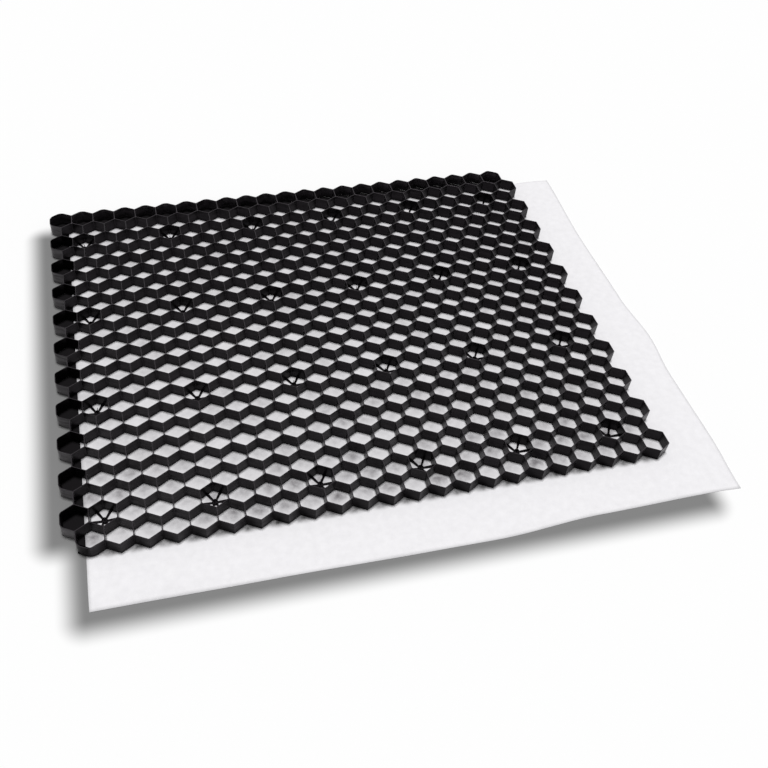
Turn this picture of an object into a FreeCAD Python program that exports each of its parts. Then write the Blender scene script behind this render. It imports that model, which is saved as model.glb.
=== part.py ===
import FreeCAD, Part
import math
import os

# Moulded honeycomb ground grid heat-bonded to a geotextile sheet.
# Millimetres, +Z up, origin on the floor at the middle of the overall outline.
# Rows run left to right and are counted from the back, columns from the left.

# Honeycomb
cell_pitch = 50.0
columns = 23
rows = 22
wall = 1.5
grid_height = 28.0
band_names = ["grid_band_back", "grid_band_middle", "grid_band_front"]

# Spoked cells
spoke_width = 3.2
spoke_height = 3.0
star_first_column = 1
star_column_step = 4
star_first_row = 2
star_row_step = 6

# Geotextile sheet: where it stops short of the grid and where it runs out past it
sheet_thickness = 1.0
sheet_inset_left = 39.0
sheet_inset_back = 31.0
sheet_lap_right = 113.0
sheet_lap_front = 104.0

# Layout worked out from the sizes above
hex_radius = cell_pitch / math.sqrt(3)
row_step = 1.5 * hex_radius
half_wall = wall / 2
apex_overhang = wall / math.sqrt(3)
cell_radius = (cell_pitch - wall) / math.sqrt(3)
grid_width = (columns + 0.5) * cell_pitch
grid_depth = (rows - 1) * row_step + 2 * hex_radius
total_width = half_wall + grid_width + sheet_lap_right
total_depth = apex_overhang + grid_depth + sheet_lap_front
grid_left = half_wall - total_width / 2
grid_back = total_depth / 2 - apex_overhang
star_root = wall / 4


def cell_centre(column, row):
    """Even rows start at the left edge, odd rows half a pitch further right."""
    x = grid_left + cell_pitch * (column + 0.5 + 0.5 * (row % 2))
    y = grid_back - hex_radius - row_step * row
    return x, y


def is_star(column, row):
    in_column = (column - star_first_column) % star_column_step == 0
    in_row = (row - star_first_row) % star_row_step == 0
    return in_column and in_row


def hexagon(centre, radius):
    """Corners of a hexagon with flats left and right, from the right one at the back."""
    angles = [math.radians(30 + 60 * k) for k in range(6)]
    return [(centre[0] + radius * math.cos(a), centre[1] + radius * math.sin(a)) for a in angles]


def wire(points, z):
    """Closed outline through plan points at one height."""
    corners = [FreeCAD.Vector(x, y, z) for x, y in points]
    return Part.makePolygon(corners + corners[:1])


def prism(outline, holes, z, height):
    """Upright prism over an outline with openings through it."""
    face = Part.Face([wire(points, z) for points in [outline] + holes])
    return face.extrude(FreeCAD.Vector(0, 0, height))


def open_side(column, row):
    """Wall thickness outside the mid-plane: none where another cell shares the wall."""
    inside = 0 <= column < columns and 0 <= row < rows
    return 0.0 if inside else half_wall


def band_edges(first_row, last_row):
    """Mid-plane outline of some rows, clockwise: start of each edge and wall outside it."""
    edges = []
    shift = first_row % 2
    for column in range(columns):
        corner = hexagon(cell_centre(column, first_row), hex_radius)
        edges.append((corner[2], open_side(column + shift - 1, first_row - 1)))
        edges.append((corner[1], open_side(column + shift, first_row - 1)))
    for row in range(first_row, last_row + 1):
        corner = hexagon(cell_centre(columns - 1, row), hex_radius)
        edges.append((corner[0], half_wall))
        edges.append((corner[5], half_wall))
    edges.pop()
    shift = last_row % 2
    for column in reversed(range(columns)):
        corner = hexagon(cell_centre(column, last_row), hex_radius)
        edges.append((corner[5], open_side(column + shift, last_row + 1)))
        edges.append((corner[4], open_side(column + shift - 1, last_row + 1)))
    for row in reversed(range(first_row, last_row + 1)):
        corner = hexagon(cell_centre(0, row), hex_radius)
        edges.append((corner[3], half_wall))
        edges.append((corner[2], half_wall))
    edges.pop()
    return edges


def offset_outline(edges):
    """Move each edge of a clockwise outline outwards by its own distance."""
    lines = []
    for (start, distance), (end, _) in zip(edges, edges[1:] + edges[:1]):
        run = FreeCAD.Vector(end[0] - start[0], end[1] - start[1], 0).normalize()
        lines.append((-run.y, run.x, run.x * start[1] - run.y * start[0] + distance))
    corners = []
    for (a, b, c), (d, e, f) in zip(lines[-1:] + lines[:-1], lines):
        determinant = a * e - b * d
        corners.append(((c * e - b * f) / determinant, (a * f - c * d) / determinant))
    return corners


def bar(centre, angle):
    """Bar across a cell, rooted in the middle of two walls that face each other."""
    along = (math.cos(angle), math.sin(angle))
    reach = (cell_pitch - wall) / 2 + star_root
    half_width = spoke_width / 2
    plan = [(reach, half_width), (-reach, half_width), (-reach, -half_width), (reach, -half_width)]
    outline = [(centre[0] + u * along[0] - v * along[1], centre[1] + u * along[1] + v * along[0])
               for u, v in plan]
    return prism(outline, [], sheet_thickness, spoke_height)


def star(column, row):
    """Six spokes from the centre of a cell to the middle of its walls, as three bars."""
    centre = cell_centre(column, row)
    bars = [bar(centre, math.radians(60 * k)) for k in range(3)]
    return bars[0].multiFuse(bars[1:]).removeSplitter()


def honeycomb_band(first_row, last_row):
    """Some rows of cells, cut from their neighbours along the middle of the shared walls."""
    cells = [(column, row) for row in range(first_row, last_row + 1) for column in range(columns)]
    openings = [hexagon(cell_centre(*cell), cell_radius) for cell in cells]
    outline = offset_outline(band_edges(first_row, last_row))
    band = prism(outline, openings, sheet_thickness, grid_height)
    stars = [star(*cell) for cell in cells if is_star(*cell)]
    if stars:
        band = band.multiFuse(stars).removeSplitter()
    return band


def geotextile_sheet():
    """Flat sheet under the grid, set in at the left and back, lapping at the right and front."""
    left = grid_left + sheet_inset_left
    right = grid_left + grid_width + sheet_lap_right
    back = grid_back - sheet_inset_back
    front = grid_back - grid_depth - sheet_lap_front
    corner = FreeCAD.Vector(left, front, 0)
    return Part.makeBox(right - left, back - front, sheet_thickness, corner)


def band_rows():
    """First and last row of each band, as even as the row count allows."""
    count = len(band_names)
    starts = [math.ceil(rows * k / count) for k in range(count + 1)]
    return [(starts[k], starts[k + 1] - 1) for k in range(count)]


os.makedirs("parts", exist_ok=True)
for name, (first_row, last_row) in zip(band_names, band_rows()):
    honeycomb_band(first_row, last_row).exportStep("parts/" + name + ".step")
geotextile_sheet().exportStep("parts/geotextile_membrane.step")
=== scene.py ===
import math
import random

import bmesh
import bpy
from mathutils import Matrix, Vector, noise


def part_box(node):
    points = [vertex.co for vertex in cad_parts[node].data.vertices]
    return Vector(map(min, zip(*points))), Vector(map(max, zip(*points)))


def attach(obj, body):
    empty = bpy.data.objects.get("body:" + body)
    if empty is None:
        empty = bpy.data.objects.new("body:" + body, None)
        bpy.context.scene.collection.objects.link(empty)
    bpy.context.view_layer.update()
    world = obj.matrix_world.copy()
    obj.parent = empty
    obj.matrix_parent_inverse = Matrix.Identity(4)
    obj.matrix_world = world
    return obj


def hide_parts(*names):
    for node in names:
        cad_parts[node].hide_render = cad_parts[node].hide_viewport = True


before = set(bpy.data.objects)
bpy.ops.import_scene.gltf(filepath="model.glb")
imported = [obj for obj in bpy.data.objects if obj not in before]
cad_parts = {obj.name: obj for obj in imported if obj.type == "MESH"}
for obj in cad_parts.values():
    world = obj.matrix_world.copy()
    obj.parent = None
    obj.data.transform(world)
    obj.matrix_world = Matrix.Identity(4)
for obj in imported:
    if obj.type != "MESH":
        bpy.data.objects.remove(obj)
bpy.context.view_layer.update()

# Sizes in metres: the moulded grid, as in the frame
PITCH = 0.050
WALL = 0.0015
COLUMNS = 23
ROWS = 22
HALF_WALL = WALL / 2
HEX_RADIUS = PITCH / math.sqrt(3)
ROW_STEP = 1.5 * HEX_RADIUS
MITRE = WALL / math.sqrt(3)
GRID_LOW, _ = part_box("grid_band_front")
_, GRID_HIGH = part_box("grid_band_back")
GRID_BASE = GRID_LOW[2]
GRID_TOP = GRID_HIGH[2]
GRID_HEIGHT = GRID_TOP - GRID_BASE
FIRST_X = GRID_LOW[0] + HALF_WALL + PITCH / 2
FIRST_Y = GRID_HIGH[1] - MITRE - HEX_RADIUS
# Corners of a cell: 30, 90, 150, 210, 270 and 330 degrees
CORNER_ANGLES = [math.radians(30 + 60 * k) for k in range(6)]
# Vertices nearer than this are one
MERGE = 0.00002

# Roundings of the mould, and how many faces one has
CELL_FILLET = 0.0028
RIM_ROUND = 0.00035
BACK_ROUND = 0.0150
BACK_ROUND_RIGHT = 0.0090
LOBE_ROUND = 0.0070
LOBE_FRONT_ROUND = 0.0110
FRONT_CORNER_ROUND = 0.0180
CORNER_ROUND = 0.0010
SMALL_STEPS = 2
FILLET_STEPS = 3
FREE_CORNER_STEPS = 7

# Spoked star at the bottom of some cells
STAR_COLUMNS = range(1, COLUMNS, 4)
STAR_ROWS = range(2, ROWS, 6)
SPOKE_WIDTH = 0.0032
SPOKE_HEIGHT = 0.0030
SPOKE_ROUND = 0.0006
SPOKE_ROOT = 0.0004
SPOKE_FLARE = 1.7
FLARE_LENGTH = 0.0060
HUB_RADIUS = 0.0066
HUB_HEIGHT = 0.0058
HUB_TOP_SHARE = 0.82
HUB_RIM = 0.22 * HUB_RADIUS
HUB_DISH_SIDE = 0.16 * HUB_RADIUS
HUB_DISH = 0.0020
NUB_RADIUS = 0.0013
NUB_TIP_SHARE = 0.4
NUB_HEIGHTS = (0.006, 0.017)
NUB_LEAN = 0.0030
NUB_SEED = 11

# Places of the plastic's copies among the grid's materials, in the order of PLASTICS: plain, painted shade,
# and two with painted light
PLAIN_PLASTIC = 0
SHADED_PLASTIC = 1
BACK_ROW_LIT_PLASTIC = 2
LEFT_LIT_PLASTIC = 3
# Outer faces at the left that get painted light: how far in from the grid's left edge they lie, and how much
# they look to the left
LOBE_SIDE = 0.45 * PITCH
NOTCH_SIDE = 0.55 * PITCH
LEFTWARD = -0.1
SQUARELY_LEFT = -0.9

# Copies of the plastic, plain and with painted light or shade: darkest and lightest streak, painted rim
# highlight and gloss
PLASTICS = {
    "moulded_plastic": (
        (0.0002, 0.0001, 0.0002), (0.0120, 0.0104, 0.0120), (0.030, 0.027, 0.030), 0.13),
    "moulded_plastic_painted_shade": (
        (0.0003, 0.0002, 0.0003), (0.0036, 0.0030, 0.0036), (0.020, 0.018, 0.020), 0.09),
    "moulded_plastic_painted_light_back_row": (
        (0.010, 0.009, 0.010), (0.046, 0.041, 0.046), (0.040, 0.036, 0.040), 0.15),
    "moulded_plastic_painted_light_left": (
        (0.072, 0.069, 0.072), (0.175, 0.168, 0.175), (0.070, 0.067, 0.070), 0.15),
}
PLASTIC_TINT = (1.0, 0.88, 1.0, 1.0)
STREAKS = {"Coarse_Scale": 26.0, "Fine_Scale": 120.0, "Fine_Share": 0.35}
STREAK_STRETCH = (1.0, 1.0, 6.0)
STREAK_SPREAD = (0.38, 0.62)
STREAK_ROUGHNESS = (0.40, 0.22)
STREAK_BUMP = {"strength": 0.12, "distance": 0.0006}
RIM_HIGHLIGHT_DEPTH = 0.0009

# Geotextile sheet: its mesh, and the ripples of its loose lap as scale, level of the noise and share
SHEET_LOW, SHEET_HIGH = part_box("geotextile_membrane")
FELT_THICKNESS = 0.0008
UNDER_FELT = 0.0001
SHEET_MESH = 0.008
LAP_START = 0.012
LAP_RAMP = 0.060
LAP_WAVE = 0.0034
LAP_LIFT = 0.45
LAP_RIPPLES = ((7.0, 3.1, 1.0), (19.0, 8.4, 0.5))
EDGE_REST = 0.022
# The cut edges run a little in and out: place along the edge and how far out
RIGHT_EDGE = ((-0.53, -0.005), (-0.40, 0.001), (-0.22, 0.000), (-0.11, 0.009), (0.03, -0.003),
              (0.25, -0.006), (0.50, 0.003))
FRONT_EDGE = ((-0.60, 0.001), (-0.28, 0.003), (0.00, 0.007), (0.13, 0.008), (0.34, -0.004),
              (0.59, -0.007), (0.64, -0.005))

# Felt: its matted fibres, its plain colours, grey in patches, and painted shade in the notches along the
# front
MATTING = {"Coarse_Scale": 70.0, "Fine_Scale": 900.0, "Fine_Share": 0.3}
MATTING_SPREAD = (0.36, 0.62)
MATTING_BUMP = {"strength": 0.35, "distance": 0.0015}
TONE_SPREAD = (0.3, 0.7)
FELT_DULL = (0.82, 0.81, 0.83)
FELT_BRIGHT = (0.89, 0.88, 0.90)
FELT_PATCH_GREY = (0.22, 0.21, 0.22)
FELT_NOTCH_SHADE = (0.02, 0.02, 0.02)

# Grey patch in the felt of each cell, and painted shade in each notch along the front, in cell pitches
CELL_GREY_PATCH = {"centre": (0.06, 0.31, 0.0), "turn": math.radians(-20), "slender": 1.1, "reach": 0.70,
               "thinnest": 0.55, "faint": 0.10, "strong": 0.45}
NOTCH_PAINTED_SHADE = {"centre": (0.09, 0.40, 0.0), "turn": math.radians(14), "slender": 2.1, "reach": 0.58,
                "thinnest": 0.6, "faint": 0.95, "strong": 1.0}
# The patches fade towards the walls of a cell, and grow from one row to another
PATCH_FREE_BORDER = (0.35, 0.47)
STRONGER_PATCH_ROWS = (14.0, 21.0)
FRONT_PATCH_STRENGTH = 2.7

# Columns and rows that a finish keeps to, counted from the back left, half a column further in odd rows
FELT_COLUMNS = (-0.6, COLUMNS - 0.25)
FLOOR_COLUMNS = (-0.25, COLUMNS - 0.25)
CELL_ROWS = (-0.5, ROWS - 0.5)
NOTCH_ROWS = (ROWS - 0.5, ROWS + 0.5)

# Floor: pale, painted nearly black as shade under the panel's cells, and with a painted soft shadow at the
# left of the grid and in front of the sheet, as two plan boxes
FLOOR_REACH = 12.0
FLOOR_COLOUR = (0.95, 0.95, 0.95)
UNDER_CELLS_SHADE_COLOUR = (0.012, 0.011, 0.012)
LEFT_SHADOW = ((GRID_LOW[0] - 0.041, GRID_LOW[1] + 0.018), (0.0, GRID_HIGH[1] - 0.036))
FRONT_SHADOW = ((SHEET_LOW[0] - 0.032, SHEET_LOW[1] - 0.040), (SHEET_HIGH[0] - 0.060, 0.0))
SHADOW_EDGE = 0.056
SHADOW_LIGHT = 0.24


def smooth_step(low, high, value):
    """0 below low, 1 above high and a smooth change between."""
    t = min(max((value - low) / (high - low), 0.0), 1.0)
    return t * t * (3.0 - 2.0 * t)


def cell_centre(column, row):
    """Even rows start at the left edge, odd rows half a pitch further right."""
    return Vector((FIRST_X + PITCH * (column + 0.5 * (row % 2)), FIRST_Y - ROW_STEP * row, 0.0))


def is_star(column, row):
    return column in STAR_COLUMNS and row in STAR_ROWS


def is_lobe(column, row):
    """A cell that juts out at the left edge."""
    return column == 0 and row % 2 == 0


def new_piece(name, bm, materials):
    """A mesh object at the origin from a finished bmesh."""
    mesh = bpy.data.meshes.new(name)
    bm.to_mesh(mesh)
    bm.free()
    for material in materials:
        mesh.materials.append(material)
    piece = bpy.data.objects.new(name, mesh)
    bpy.context.scene.collection.objects.link(piece)
    return piece


def round_edges(bm, edges, width, segments):
    """Rounds edges, with width as what is taken off each neighbouring face."""
    bmesh.ops.bevel(bm, geom=edges, affect="EDGES", offset=width, segments=segments,
                    profile=0.5, material=-1)


def corner_width(radius):
    """What a rounding of this radius takes off each wall at a corner of a hexagon."""
    return radius * math.tan(math.radians(30))


def is_upright(edge):
    a, b = edge.verts
    return (a.co - b.co).to_2d().length < MERGE


def is_wall(face):
    return abs(face.normal.z) < 0.5


def is_rim(edge):
    """An edge of the top plane with an upright wall under it."""
    level = all(abs(vert.co.z - GRID_TOP) < MERGE for vert in edge.verts)
    upright = any(is_wall(face) for face in edge.link_faces)
    return level and upright and len(edge.link_faces) == 2


# Grid: one cell

def corner_rounds(column, row):
    """Radius inside each corner of a cell: the free corners at the back, left and front left are rounder."""
    rounds = [CELL_FILLET] * 6
    if row == 0:
        rounds[1] = BACK_ROUND if column < COLUMNS / 2 else BACK_ROUND_RIGHT
    if row == 0 and column == COLUMNS - 1:
        rounds[0] = BACK_ROUND_RIGHT
    if is_lobe(column, row):
        rounds[2] = BACK_ROUND if row == 0 else LOBE_ROUND
        rounds[3] = LOBE_FRONT_ROUND
    if column == 0 and row == ROWS - 1:
        rounds[3] = rounds[4] = FRONT_CORNER_ROUND
    return tuple(rounds)


def free_corners():
    """Place, outward direction and inner radius of each rounder corner of the panel."""
    corners = []
    for row in range(ROWS):
        for column in range(COLUMNS):
            for angle, radius in zip(CORNER_ANGLES, corner_rounds(column, row)):
                if radius > CELL_FILLET:
                    away = Vector((math.cos(angle), math.sin(angle)))
                    corners.append((cell_centre(column, row).to_2d() + HEX_RADIUS * away, away, radius))
    return corners


def cell_ring(rounds):
    """The inner half of the six walls round one cell, open along the middle of the walls."""
    bm = bmesh.new()
    bmesh.ops.create_circle(bm, segments=6, radius=HEX_RADIUS, cap_ends=True)
    inside = bm.faces[:]
    bmesh.ops.inset_region(bm, faces=inside, thickness=HALF_WALL, use_boundary=True, use_even_offset=True)
    bmesh.ops.delete(bm, geom=inside, context="FACES_ONLY")
    bmesh.ops.translate(bm, verts=bm.verts, vec=(0, 0, GRID_BASE))
    raised = bmesh.ops.extrude_face_region(bm, geom=bm.faces[:])["geom"]
    raised = [item for item in raised if isinstance(item, bmesh.types.BMVert)]
    bmesh.ops.translate(bm, verts=raised, vec=(0, 0, GRID_HEIGHT))
    middle = [face for face in bm.faces if is_wall(face)
              and face.calc_center_median().to_2d().length > (PITCH - HALF_WALL) / 2]
    bmesh.ops.delete(bm, geom=middle, context="FACES")
    corners = [edge for edge in bm.edges if is_upright(edge)]
    for angle, radius in zip(CORNER_ANGLES, rounds):
        here = Vector((math.cos(angle), math.sin(angle)))
        edge = max(corners, key=lambda item: item.verts[0].co.to_2d().dot(here))
        corners.remove(edge)
        steps = FILLET_STEPS if radius == CELL_FILLET else FREE_CORNER_STEPS
        round_edges(bm, [edge], corner_width(radius), steps)
    bm.normal_update()
    round_edges(bm, [edge for edge in bm.edges if is_rim(edge)], RIM_ROUND, SMALL_STEPS)
    return bm


def spoke():
    """A bar with rounded top edges from inside the hub to the middle of a wall, wider at the wall."""
    start = HUB_RADIUS / 2
    reach = (PITCH - WALL) / 2 + SPOKE_ROOT
    middle_height = GRID_BASE + SPOKE_HEIGHT / 2
    bm = bmesh.new()
    bmesh.ops.create_cube(bm, size=1.0)
    bmesh.ops.scale(bm, verts=bm.verts, vec=(reach - start, SPOKE_WIDTH, SPOKE_HEIGHT))
    bmesh.ops.translate(bm, verts=bm.verts, vec=((start + reach) / 2, 0, middle_height))
    bmesh.ops.bisect_plane(bm, geom=bm.verts[:] + bm.edges[:] + bm.faces[:],
                           plane_co=(reach - FLARE_LENGTH, 0, 0), plane_no=(1, 0, 0))
    for vert in bm.verts:
        if vert.co.x > reach - MERGE:
            vert.co.y *= SPOKE_FLARE
    long_top = [edge for edge in bm.edges if all(vert.co.z > middle_height for vert in edge.verts)
                and abs(edge.verts[0].co.x - edge.verts[1].co.x) > MERGE]
    round_edges(bm, long_top, SPOKE_ROUND, SMALL_STEPS)
    return bm


def add_hub(bm):
    """A low round boss with a dished top where the spokes meet."""
    boss = bmesh.ops.create_cone(bm, segments=20, radius1=HUB_RADIUS, radius2=HUB_RADIUS * HUB_TOP_SHARE,
                                 depth=HUB_HEIGHT, cap_ends=True)["verts"]
    bmesh.ops.translate(bm, verts=boss, vec=(0, 0, GRID_BASE + HUB_HEIGHT / 2))
    faces = {face for vert in boss for face in vert.link_faces}
    top = [face for face in faces if face.calc_center_median().z > GRID_BASE + HUB_HEIGHT - MERGE]
    bmesh.ops.inset_region(bm, faces=top, thickness=HUB_RIM, use_even_offset=True)
    bmesh.ops.inset_region(bm, faces=top, thickness=HUB_DISH_SIDE, depth=-HUB_DISH, use_even_offset=True)


def star_cell():
    """A cell with six spokes across its bottom."""
    bm = cell_ring([CELL_FILLET] * 6)
    bar = bpy.data.meshes.new("spoke")
    source = spoke()
    source.to_mesh(bar)
    source.free()
    for k in range(6):
        start = len(bm.verts)
        bm.from_mesh(bar)
        bm.verts.ensure_lookup_table()
        turn = Matrix.Rotation(math.radians(60 * k), 3, "Z")
        bmesh.ops.rotate(bm, verts=bm.verts[start:], matrix=turn)
    bpy.data.meshes.remove(bar)
    add_hub(bm)
    return bm


def add_nub(bm, centre, height, lean):
    """The thin stub that the moulding gate leaves on a hub."""
    nub = bmesh.ops.create_cone(bm, segments=8, radius1=NUB_RADIUS, radius2=NUB_RADIUS * NUB_TIP_SHARE,
                                depth=height, cap_ends=True)["verts"]
    bmesh.ops.translate(bm, verts=nub, vec=(centre.x, centre.y, GRID_BASE + HUB_HEIGHT / 2 + height / 2))
    for vert in nub:
        if vert.co.z > GRID_BASE + HUB_HEIGHT:
            vert.co += lean
    # Painted shade: the stub takes the darker copy of the plastic
    for face in {face for vert in nub for face in vert.link_faces}:
        face.material_index = SHADED_PLASTIC


def add_nubs(bm):
    """A stub on the hub of every star, no two of one length or lean."""
    chance = random.Random(NUB_SEED)
    for row in STAR_ROWS:
        for column in STAR_COLUMNS:
            turn = chance.uniform(0.0, 2.0 * math.pi)
            lean = Vector((math.cos(turn), math.sin(turn), 0.0)) * chance.uniform(0.0, NUB_LEAN)
            add_nub(bm, cell_centre(column, row), chance.uniform(*NUB_HEIGHTS), lean)


# Grid: the outer half of the walls round the panel

def boundary_edges(bm, z):
    """The panel's open outline at one height."""
    return [edge for edge in bm.edges if len(edge.link_faces) == 1
            and all(abs(vert.co.z - z) < MERGE for vert in edge.verts)]


def place_key(vert):
    """A vertex's place to a hundredth of a millimetre."""
    return tuple(round(value, 5) for value in vert.co)


def mitre_moves(edges):
    """For each corner of the outline, the step that moves it outwards by half a wall."""
    outward = {}
    for edge in edges:
        run = edge.verts[1].co - edge.verts[0].co
        away = Vector((-run.y, run.x, 0)).normalized()
        if away.dot(edge.link_faces[0].calc_center_median() - edge.verts[0].co) > 0:
            away.negate()
        for vert in edge.verts:
            outward.setdefault(vert, []).append(away)
    return {place_key(vert): HALF_WALL * (a + b) / (1 + a.dot(b)) for vert, (a, b) in outward.items()}


def move_outwards(bm, edges):
    """Extrudes outline edges outwards in their plane and returns the new outline."""
    moves = mitre_moves(edges)
    made = bmesh.ops.extrude_edge_only(bm, edges=edges)["geom"]
    for vert in [item for item in made if isinstance(item, bmesh.types.BMVert)]:
        vert.co += moves[place_key(vert)]
    return [item for item in made if isinstance(item, bmesh.types.BMEdge) and len(item.link_faces) == 1]


def add_outer_walls(bm):
    """Closes the panel with the outer half of its edge walls."""
    bottom = boundary_edges(bm, GRID_BASE)
    top = boundary_edges(bm, GRID_TOP)
    move_outwards(bm, bottom)
    rim = move_outwards(bm, top)
    made = bmesh.ops.extrude_edge_only(bm, edges=rim)["geom"]
    lowered = [item for item in made if isinstance(item, bmesh.types.BMVert)]
    bmesh.ops.translate(bm, verts=lowered, vec=(0, 0, -GRID_HEIGHT))
    bmesh.ops.remove_doubles(bm, verts=bm.verts, dist=MERGE)
    bm.normal_update()
    tall = 0.9 * GRID_HEIGHT
    sharp = math.radians(50)
    corners = [edge for edge in bm.edges if is_upright(edge) and edge.calc_length() > tall
               and len(edge.link_faces) == 2 and edge.calc_face_angle() > sharp]
    for place, away, radius in free_corners():
        edge = min(corners, key=lambda item: (item.verts[0].co.to_2d() - place).length)
        corners.remove(edge)
        round_edges(bm, [edge], corner_width(radius + WALL), FREE_CORNER_STEPS)
        drawn_in = (radius + HALF_WALL) * (1 / math.cos(math.radians(30)) - 1)
        for vert in bm.verts:
            if (vert.co.to_2d() - place).length < WALL / 4:
                vert.co -= drawn_in * away.to_3d()
    round_edges(bm, corners, corner_width(CORNER_ROUND), SMALL_STEPS)


def paint_light_on_outer_faces(bm):
    """Painted light and shade on the outer faces: those along the left get a lighter copy of the plastic,
    and those at the front that look left a darker one.
    """
    front = GRID_LOW[1] + HEX_RADIUS / 2 + WALL
    for face in bm.faces:
        place = face.calc_center_median()
        normal = face.normal
        if normal.x > LEFTWARD or not is_wall(face):
            continue
        past_left = place.x - GRID_LOW[0]
        if past_left < LOBE_SIDE or (past_left < NOTCH_SIDE and normal.x < SQUARELY_LEFT):
            face.material_index = LEFT_LIT_PLASTIC
        elif place.y < front and normal.y < 0:
            face.material_index = SHADED_PLASTIC


def cell_plastic_copy(column, row):
    """Which copy of the grid's plastic the walls of a cell have: painted lighter in the back row, painted
    shade in star cells and lobes.
    """
    if row == 0:
        return BACK_ROW_LIT_PLASTIC
    if is_star(column, row) or is_lobe(column, row):
        return SHADED_PLASTIC
    return PLAIN_PLASTIC


def honeycomb(materials):
    """All cells side by side, welded along the middle of the shared walls."""
    cells = {}
    bm = bmesh.new()
    for row in range(ROWS):
        for column in range(COLUMNS):
            start = len(bm.verts)
            first_face = len(bm.faces)
            kind = "star" if is_star(column, row) else corner_rounds(column, row)
            if kind not in cells:
                cells[kind] = bpy.data.meshes.new("cell")
                source = star_cell() if kind == "star" else cell_ring(kind)
                source.to_mesh(cells[kind])
                source.free()
            bm.from_mesh(cells[kind])
            bm.verts.ensure_lookup_table()
            bm.faces.ensure_lookup_table()
            bmesh.ops.translate(bm, verts=bm.verts[start:], vec=cell_centre(column, row))
            for face in bm.faces[first_face:]:
                face.material_index = cell_plastic_copy(column, row)
    for mesh in cells.values():
        bpy.data.meshes.remove(mesh)
    bmesh.ops.remove_doubles(bm, verts=bm.verts, dist=MERGE)
    add_outer_walls(bm)
    add_nubs(bm)
    bmesh.ops.recalc_face_normals(bm, faces=bm.faces)
    bm.normal_update()
    paint_light_on_outer_faces(bm)
    return new_piece("honeycomb_grid", bm, materials)


# Geotextile sheet

def lap_height(x, y):
    """How far the loose lap lifts off the floor past the right and front edges of the grid."""
    past_right = x - (GRID_HIGH[0] + LAP_START)
    past_front = GRID_LOW[1] - LAP_START - y
    loose = smooth_step(0.0, LAP_RAMP, max(past_right, past_front))
    ripple = sum(share * noise.noise(Vector((x * scale, y * scale, level)))
                 for scale, level, share in LAP_RIPPLES)
    laid = smooth_step(0.0, EDGE_REST, min(SHEET_HIGH[0] - x, y - SHEET_LOW[1]))
    return loose * laid * LAP_WAVE * max(0.0, LAP_LIFT + ripple)


def run_out(points, place):
    """Smooth course of a cut edge through a few points of it."""
    if place <= points[0][0]:
        return points[0][1]
    for (start, low), (end, high) in zip(points, points[1:]):
        if place <= end:
            return low + (high - low) * smooth_step(start, end, place)
    return points[-1][1]


def membrane(material):
    """The felt sheet, flat where the grid holds it and slightly rippled where it laps out."""
    width = SHEET_HIGH[0] - SHEET_LOW[0]
    depth = SHEET_HIGH[1] - SHEET_LOW[1]
    bm = bmesh.new()
    bmesh.ops.create_grid(bm, x_segments=round(width / SHEET_MESH), y_segments=round(depth / SHEET_MESH),
                          size=0.5)
    bmesh.ops.scale(bm, verts=bm.verts, vec=(width, depth, 1.0))
    middle_x = (SHEET_LOW[0] + SHEET_HIGH[0]) / 2
    middle_y = (SHEET_LOW[1] + SHEET_HIGH[1]) / 2
    bmesh.ops.translate(bm, verts=bm.verts, vec=(middle_x, middle_y, FELT_THICKNESS + UNDER_FELT))
    for vert in bm.verts:
        x, y, _ = vert.co
        vert.co.z += lap_height(x, y)
        vert.co.x += run_out(RIGHT_EDGE, y) * smooth_step(GRID_HIGH[0], SHEET_HIGH[0], x)
        vert.co.y -= run_out(FRONT_EDGE, x) * smooth_step(-GRID_LOW[1], -SHEET_LOW[1], -y)
    piece = new_piece("geotextile_sheet", bm, [material])
    body = piece.modifiers.new("felt thickness", "SOLIDIFY")
    body.thickness = FELT_THICKNESS
    body.offset = -1.0
    for face in piece.data.polygons:
        face.use_smooth = True
    return piece


# Effects that the finishes share

def effect_group(name, inputs, outputs):
    """An empty node group with named sockets."""
    group = bpy.data.node_groups.new(name, "ShaderNodeTree")
    for socket, kind, value in inputs:
        made = group.interface.new_socket(socket, in_out="INPUT", socket_type=kind)
        if value is not None:
            made.default_value = value
    for socket, kind in outputs:
        group.interface.new_socket(socket, in_out="OUTPUT", socket_type=kind)
    return group, group.nodes.new("NodeGroupInput"), group.nodes.new("NodeGroupOutput")


def cloudy_group():
    """Soft clouds with finer ones in them, from 0 to 1."""
    group, given, result = effect_group(
        "cloudy_variation",
        [("Vector", "NodeSocketVector", None), ("Coarse Scale", "NodeSocketFloat", 40.0),
         ("Fine Scale", "NodeSocketFloat", 250.0), ("Fine Share", "NodeSocketFloat", 0.4)],
        [("Value", "NodeSocketFloat")])
    blend = group.nodes.new("ShaderNodeMix")
    for source, slot in (("Coarse Scale", "A"), ("Fine Scale", "B")):
        clouds = group.nodes.new("ShaderNodeTexNoise")
        clouds.inputs["Detail"].default_value = 3.0
        group.links.new(given.outputs["Vector"], clouds.inputs["Vector"])
        group.links.new(given.outputs[source], clouds.inputs["Scale"])
        group.links.new(clouds.outputs["Fac"], blend.inputs[slot])
    group.links.new(given.outputs["Fine Share"], blend.inputs["Factor"])
    group.links.new(blend.outputs["Result"], result.inputs["Value"])
    return group


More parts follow.
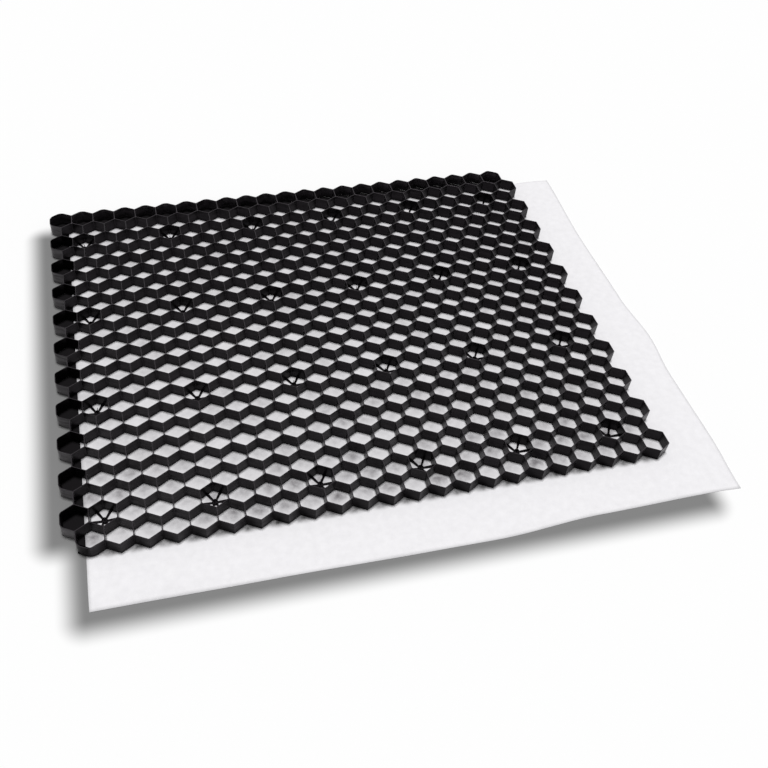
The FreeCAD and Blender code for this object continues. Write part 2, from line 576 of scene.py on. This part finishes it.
def rim_highlight_group():
    """Mask of the band just under the top rim where a highlight is painted, from 0 below it to 1 at the top.
    """
    group, given, result = effect_group(
        "painted_rim_highlight",
        [("Vector", "NodeSocketVector", None), ("Top", "NodeSocketFloat", GRID_TOP),
         ("Depth", "NodeSocketFloat", 0.001), ("Amount", "NodeSocketFloat", 1.0)],
        [("Mask", "NodeSocketFloat")])
    height = group.nodes.new("ShaderNodeSeparateXYZ")
    band = group.nodes.new("ShaderNodeMapRange")
    start = number_step(group, "SUBTRACT", given.outputs["Top"], given.outputs["Depth"])
    group.links.new(given.outputs["Vector"], height.inputs["Vector"])
    group.links.new(height.outputs["Z"], band.inputs["Value"])
    group.links.new(start, band.inputs["From Min"])
    group.links.new(given.outputs["Top"], band.inputs["From Max"])
    group.links.new(given.outputs["Amount"], band.inputs["To Max"])
    group.links.new(band.outputs["Result"], result.inputs["Mask"])
    return group


def place_group(tree, group, **values):
    """A shared effect set into a material with its own values."""
    node = tree.nodes.new("ShaderNodeGroup")
    node.node_tree = group
    for socket, value in values.items():
        node.inputs[socket.replace("_", " ")].default_value = value
    return node


# Steps that the materials are put together from

def node_material(name):
    """A new material, its node tree and its shader."""
    material = bpy.data.materials.new(name)
    material.use_nodes = True
    shader = material.node_tree.nodes["Principled BSDF"]
    return material, material.node_tree, shader


def mix_colour(tree, factor, first, second):
    """Mix of two colours, each one a fixed colour or another node's output."""
    mix = tree.nodes.new("ShaderNodeMix")
    mix.data_type = "RGBA"
    tree.links.new(factor, mix.inputs["Factor"])
    for socket, colour in (("A", first), ("B", second)):
        if isinstance(colour, tuple):
            mix.inputs[socket].default_value = (*colour, 1.0)
        else:
            tree.links.new(colour, mix.inputs[socket])
    return mix.outputs["Result"]


def value_range(tree, value, low, high, to_low, to_high, smooth=False):
    """A value from low to high turned into one from to_low to to_high, and held at those outside."""
    span = tree.nodes.new("ShaderNodeMapRange")
    span.interpolation_type = "SMOOTHSTEP" if smooth else "LINEAR"
    for socket, number in (("From Min", low), ("From Max", high), ("To Min", to_low), ("To Max", to_high)):
        span.inputs[socket].default_value = number
    tree.links.new(value, span.inputs["Value"])
    return span.outputs["Result"]


def number_step(tree, operation, *values):
    """One sum with numbers, each input a fixed number or another node's output."""
    step = tree.nodes.new("ShaderNodeMath")
    step.operation = operation
    for socket, value in zip(step.inputs, values):
        if isinstance(value, float):
            socket.default_value = value
        else:
            tree.links.new(value, socket)
    return step.outputs["Value"]


def product(tree, *values):
    """All values multiplied."""
    result = values[0]
    for value in values[1:]:
        result = number_step(tree, "MULTIPLY", result, value)
    return result


def vector_step(tree, operation, first, second=(0.0, 0.0, 0.0)):
    """One sum with vectors, each input a fixed vector or another node's output."""
    step = tree.nodes.new("ShaderNodeVectorMath")
    step.operation = operation
    for socket, value in zip(step.inputs, (first, second)):
        if isinstance(value, tuple):
            socket.default_value = value
        else:
            tree.links.new(value, socket)
    return step.outputs["Value" if operation in ("LENGTH", "DOT_PRODUCT") else "Vector"]


def axis_value(tree, vector, axis):
    """One component of a vector."""
    parts = tree.nodes.new("ShaderNodeSeparateXYZ")
    tree.links.new(vector, parts.inputs["Vector"])
    return parts.outputs[axis]


def add_bump(tree, shader, height, strength, distance):
    """Relief from a value, without changing the mesh."""
    bump = tree.nodes.new("ShaderNodeBump")
    bump.inputs["Strength"].default_value = strength
    bump.inputs["Distance"].default_value = distance
    tree.links.new(height, bump.inputs["Height"])
    tree.links.new(bump.outputs["Normal"], shader.inputs["Normal"])


# Plastic of the grid

def plastic(name, dark, light, rim, gloss):
    """Black moulded plastic: flow streaks along the walls and a painted highlight along the rim."""
    material, tree, shader = node_material(name)
    place = tree.nodes.new("ShaderNodeTexCoord").outputs["Object"]
    stretch = tree.nodes.new("ShaderNodeMapping")
    stretch.inputs["Scale"].default_value = STREAK_STRETCH
    tree.links.new(place, stretch.inputs["Vector"])
    streaks = place_group(tree, cloudy, **STREAKS)
    tree.links.new(stretch.outputs["Vector"], streaks.inputs["Vector"])
    streak = streaks.outputs["Value"]
    rim_shine = place_group(tree, painted_rim_highlight, Top=GRID_TOP, Depth=RIM_HIGHLIGHT_DEPTH, Amount=1.0)
    tree.links.new(place, rim_shine.inputs["Vector"])
    tone = mix_colour(tree, value_range(tree, streak, *STREAK_SPREAD, 0.0, 1.0), dark, light)
    tree.links.new(mix_colour(tree, rim_shine.outputs["Mask"], tone, rim), shader.inputs["Base Color"])
    roughness = value_range(tree, streak, *STREAK_SPREAD, *STREAK_ROUGHNESS)
    tree.links.new(roughness, shader.inputs["Roughness"])
    add_bump(tree, shader, streak, **STREAK_BUMP)
    shader.inputs["Specular IOR Level"].default_value = gloss
    shader.inputs["Specular Tint"].default_value = PLASTIC_TINT
    return material


# Felt of the sheet

def from_cell_centre(tree, place):
    """Vector in cell pitches from the centre of the nearest cell, and that cell's column and row."""
    pitches = (1 / PITCH, -1 / ROW_STEP, 0.0)
    start = vector_step(tree, "SUBTRACT", place, (FIRST_X, FIRST_Y, 0.0))
    counted = vector_step(tree, "MULTIPLY", start, pitches)
    found = []
    # The cells of the even rows and those of the odd rows each repeat every column and every other row
    for shift in ((0.5, 1.0, 0.0), (0.0, 0.0, 0.0)):
        moved = vector_step(tree, "ADD", counted, shift)
        corner = vector_step(tree, "SNAP", moved, (1.0, 2.0, 1.0))
        centre = vector_step(tree, "ADD", corner, (0.5 - shift[0], 1.0 - shift[1], 0.0))
        away = vector_step(tree, "SUBTRACT", counted, centre)
        away = vector_step(tree, "MULTIPLY", away, (1.0, -ROW_STEP / PITCH, 0.0))
        found.append((away, centre))
    lengths = [vector_step(tree, "LENGTH", away) for away, _ in found]
    second_nearer = number_step(tree, "GREATER_THAN", *lengths)
    picked = []
    for first, second in zip(*found):
        pick = tree.nodes.new("ShaderNodeMix")
        pick.data_type = "VECTOR"
        tree.links.new(second_nearer, pick.inputs["Factor"])
        tree.links.new(first, pick.inputs["A"])
        tree.links.new(second, pick.inputs["B"])
        picked.append(pick.outputs["Result"])
    return picked


def inside(tree, centre, axis, low, high):
    """1 where a cell's column or row count lies between two values."""
    return number_step(tree, "COMPARE", axis_value(tree, centre, axis), (low + high) / 2, (high - low) / 2)


def wall_distance(tree, away):
    """How near a place is to the walls of its cell: 0 in the middle, 0.5 in the middle of a wall."""
    reaches = []
    for angle in (0, 60, 120):
        across = (math.cos(math.radians(angle)), math.sin(math.radians(angle)), 0.0)
        reaches.append(number_step(tree, "ABSOLUTE", vector_step(tree, "DOT_PRODUCT", away, across)))
    return number_step(tree, "MAXIMUM", number_step(tree, "MAXIMUM", *reaches[:2]), reaches[2])


def soft_patch(tree, away, chance, matting, kind):
    """Soft grey patch at one place in every cell, patchy and of differing strength."""
    place = vector_step(tree, "SUBTRACT", away, kind["centre"])
    turned = tree.nodes.new("ShaderNodeMapping")
    turned.inputs["Rotation"].default_value = (0.0, 0.0, kind["turn"])
    turned.inputs["Scale"].default_value = (1.0, kind["slender"], 1.0)
    tree.links.new(place, turned.inputs["Vector"])
    spread = vector_step(tree, "LENGTH", turned.outputs["Vector"])
    core = value_range(tree, spread, 0.0, kind["reach"], 1.0, 0.0, smooth=True)
    patches = value_range(tree, matting, *MATTING_SPREAD, 1.0, kind["thinnest"])
    strength = value_range(tree, chance, 0.0, 1.0, kind["faint"], kind["strong"])
    return product(tree, core, patches, strength)


def felt():
    """White needled felt: matted fibres, faint clouds, a grey patch in each cell and painted shade in the
    notches along the front.
    """
    material, tree, shader = node_material("geotextile_felt")
    place = tree.nodes.new("ShaderNodeTexCoord").outputs["Object"]
    fibres = place_group(tree, cloudy, **MATTING)
    tree.links.new(place, fibres.inputs["Vector"])
    matting = fibres.outputs["Value"]
    away, centre = from_cell_centre(tree, place)
    cell_noise = tree.nodes.new("ShaderNodeTexWhiteNoise")
    tree.links.new(centre, cell_noise.inputs["Vector"])
    chance = cell_noise.outputs["Value"]
    under = inside(tree, centre, "X", *FELT_COLUMNS)
    in_cells = product(tree, under, inside(tree, centre, "Y", *CELL_ROWS))
    in_notches = product(tree, under, inside(tree, centre, "Y", *NOTCH_ROWS))
    more = value_range(tree, axis_value(tree, centre, "Y"), *STRONGER_PATCH_ROWS, 1.0, FRONT_PATCH_STRENGTH)
    clear_of_walls = value_range(tree, wall_distance(tree, away), *PATCH_FREE_BORDER, 1.0, 0.0, smooth=True)
    # A grey patch towards the back of each cell, fading towards its walls and stronger in the front rows
    grey_patched = product(tree, soft_patch(tree, away, chance, matting, CELL_GREY_PATCH), in_cells, clear_of_walls, more)
    # Painted shade: a dark patch in each notch along the front, at the foot of the front walls
    notch_shade = product(tree, soft_patch(tree, away, chance, matting, NOTCH_PAINTED_SHADE), in_notches)
    tone = value_range(tree, matting, *TONE_SPREAD, 0.0, 1.0)
    unpatched = mix_colour(tree, tone, FELT_DULL, FELT_BRIGHT)
    greyed = mix_colour(tree, grey_patched, unpatched, FELT_PATCH_GREY)
    tree.links.new(mix_colour(tree, notch_shade, greyed, FELT_NOTCH_SHADE), shader.inputs["Base Color"])
    add_bump(tree, shader, matting, **MATTING_BUMP)
    shader.inputs["Roughness"].default_value = 0.9
    shader.inputs["Specular IOR Level"].default_value = 0.2
    return material


# The pieces

cloudy = cloudy_group()
painted_rim_highlight = rim_highlight_group()
grid = honeycomb([plastic(name, *finish) for name, finish in PLASTICS.items()])
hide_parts("grid_band_back", "grid_band_middle", "grid_band_front")
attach(grid, "root")

sheet = membrane(felt())
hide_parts("geotextile_membrane")
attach(sheet, "root")


# Floor, light and camera

def light_beside(tree, place, box):
    """0 in a plan box, 1 outside it, with a soft edge and soft corners."""
    low, high = box
    middle = [(low[k] + high[k]) / 2 for k in range(2)]
    reach = [(high[k] - low[k]) / 2 - SHADOW_EDGE / 2 for k in range(2)]
    away = vector_step(tree, "ABSOLUTE", vector_step(tree, "SUBTRACT", place, (*middle, 0.0)))
    past = vector_step(tree, "MAXIMUM", vector_step(tree, "SUBTRACT", away, (*reach, 0.0)), (0.0, 0.0, 0.0))
    distance = vector_step(tree, "LENGTH", past)
    return value_range(tree, distance, 0.0, SHADOW_EDGE, 0.0, 1.0, smooth=True)


def floor():
    """A plain pale floor with a painted soft shadow beside the panel, and painted dark shade where the
    panel's cells close it in.
    """
    bm = bmesh.new()
    bmesh.ops.create_grid(bm, x_segments=1, y_segments=1, size=FLOOR_REACH)
    material, tree, shader = node_material("pale_floor_painted_shade")
    place = tree.nodes.new("ShaderNodeTexCoord").outputs["Object"]
    _, centre = from_cell_centre(tree, place)
    in_columns = inside(tree, centre, "X", *FLOOR_COLUMNS)
    # Painted shade: the floor is painted nearly black inside the panel's cells
    under_cells_shade = product(tree, in_columns, inside(tree, centre, "Y", *CELL_ROWS))
    # Painted shadow: two soft grey plan boxes at the left of the grid and in front of the sheet
    lit = product(tree, light_beside(tree, place, LEFT_SHADOW), light_beside(tree, place, FRONT_SHADOW))
    shadow_colour = tuple(SHADOW_LIGHT * value for value in FLOOR_COLOUR)
    shaded = mix_colour(tree, lit, shadow_colour, FLOOR_COLOUR)
    tree.links.new(mix_colour(tree, under_cells_shade, shaded, UNDER_CELLS_SHADE_COLOUR), shader.inputs["Base Color"])
    shader.inputs["Roughness"].default_value = 1.0
    shader.inputs["Specular IOR Level"].default_value = 0.0
    piece = new_piece("floor", bm, [material])


def high_softbox(direction, strength, spread):
    """A large soft light far overhead and a little behind, so that every cell is lit alike."""
    light = bpy.data.lights.new("high_softbox", "SUN")
    light.energy = strength
    light.angle = math.radians(spread)
    lamp = bpy.data.objects.new("high_softbox", light)
    lamp.rotation_euler = Vector(direction).to_track_quat("Z", "Y").to_euler()
    bpy.context.scene.collection.objects.link(lamp)


def sky(strength):
    """White surroundings that light the panel dimly and are fully white where they are seen or mirrored."""
    world = bpy.data.worlds.new("studio")
    bpy.context.scene.world = world
    world.use_nodes = True
    tree = world.node_tree
    background = tree.nodes["Background"]
    background.inputs["Color"].default_value = (1.0, 1.0, 1.0, 1.0)
    ray = tree.nodes.new("ShaderNodeLightPath").outputs
    mirrored = number_step(tree, "MAXIMUM", ray["Is Glossy Ray"], ray["Is Transmission Ray"])
    seen = number_step(tree, "MAXIMUM", ray["Is Camera Ray"], mirrored)
    tree.links.new(value_range(tree, seen, 0.0, 1.0, strength, 1.0), background.inputs["Strength"])


def camera():
    """The photograph's view, fitted to the cell rims seen in it with a small shift."""
    data = bpy.data.cameras.new("camera")
    data.sensor_width = 36.0
    data.lens = 42.70
    data.shift_x = 0.0348
    data.shift_y = -0.0187
    view = bpy.data.objects.new("camera", data)
    view.location = (-0.4246, -1.3517, 1.4215)
    view.rotation_euler = [math.radians(angle) for angle in (43.071, -3.259, -13.894)]
    bpy.context.scene.collection.objects.link(view)
    bpy.context.scene.camera = view


floor()
high_softbox(direction=(0.02, 0.12, 1.0), strength=2.42, spread=14.0)
sky(strength=0.28)
camera()
bpy.context.scene.view_settings.view_transform = "Standard"
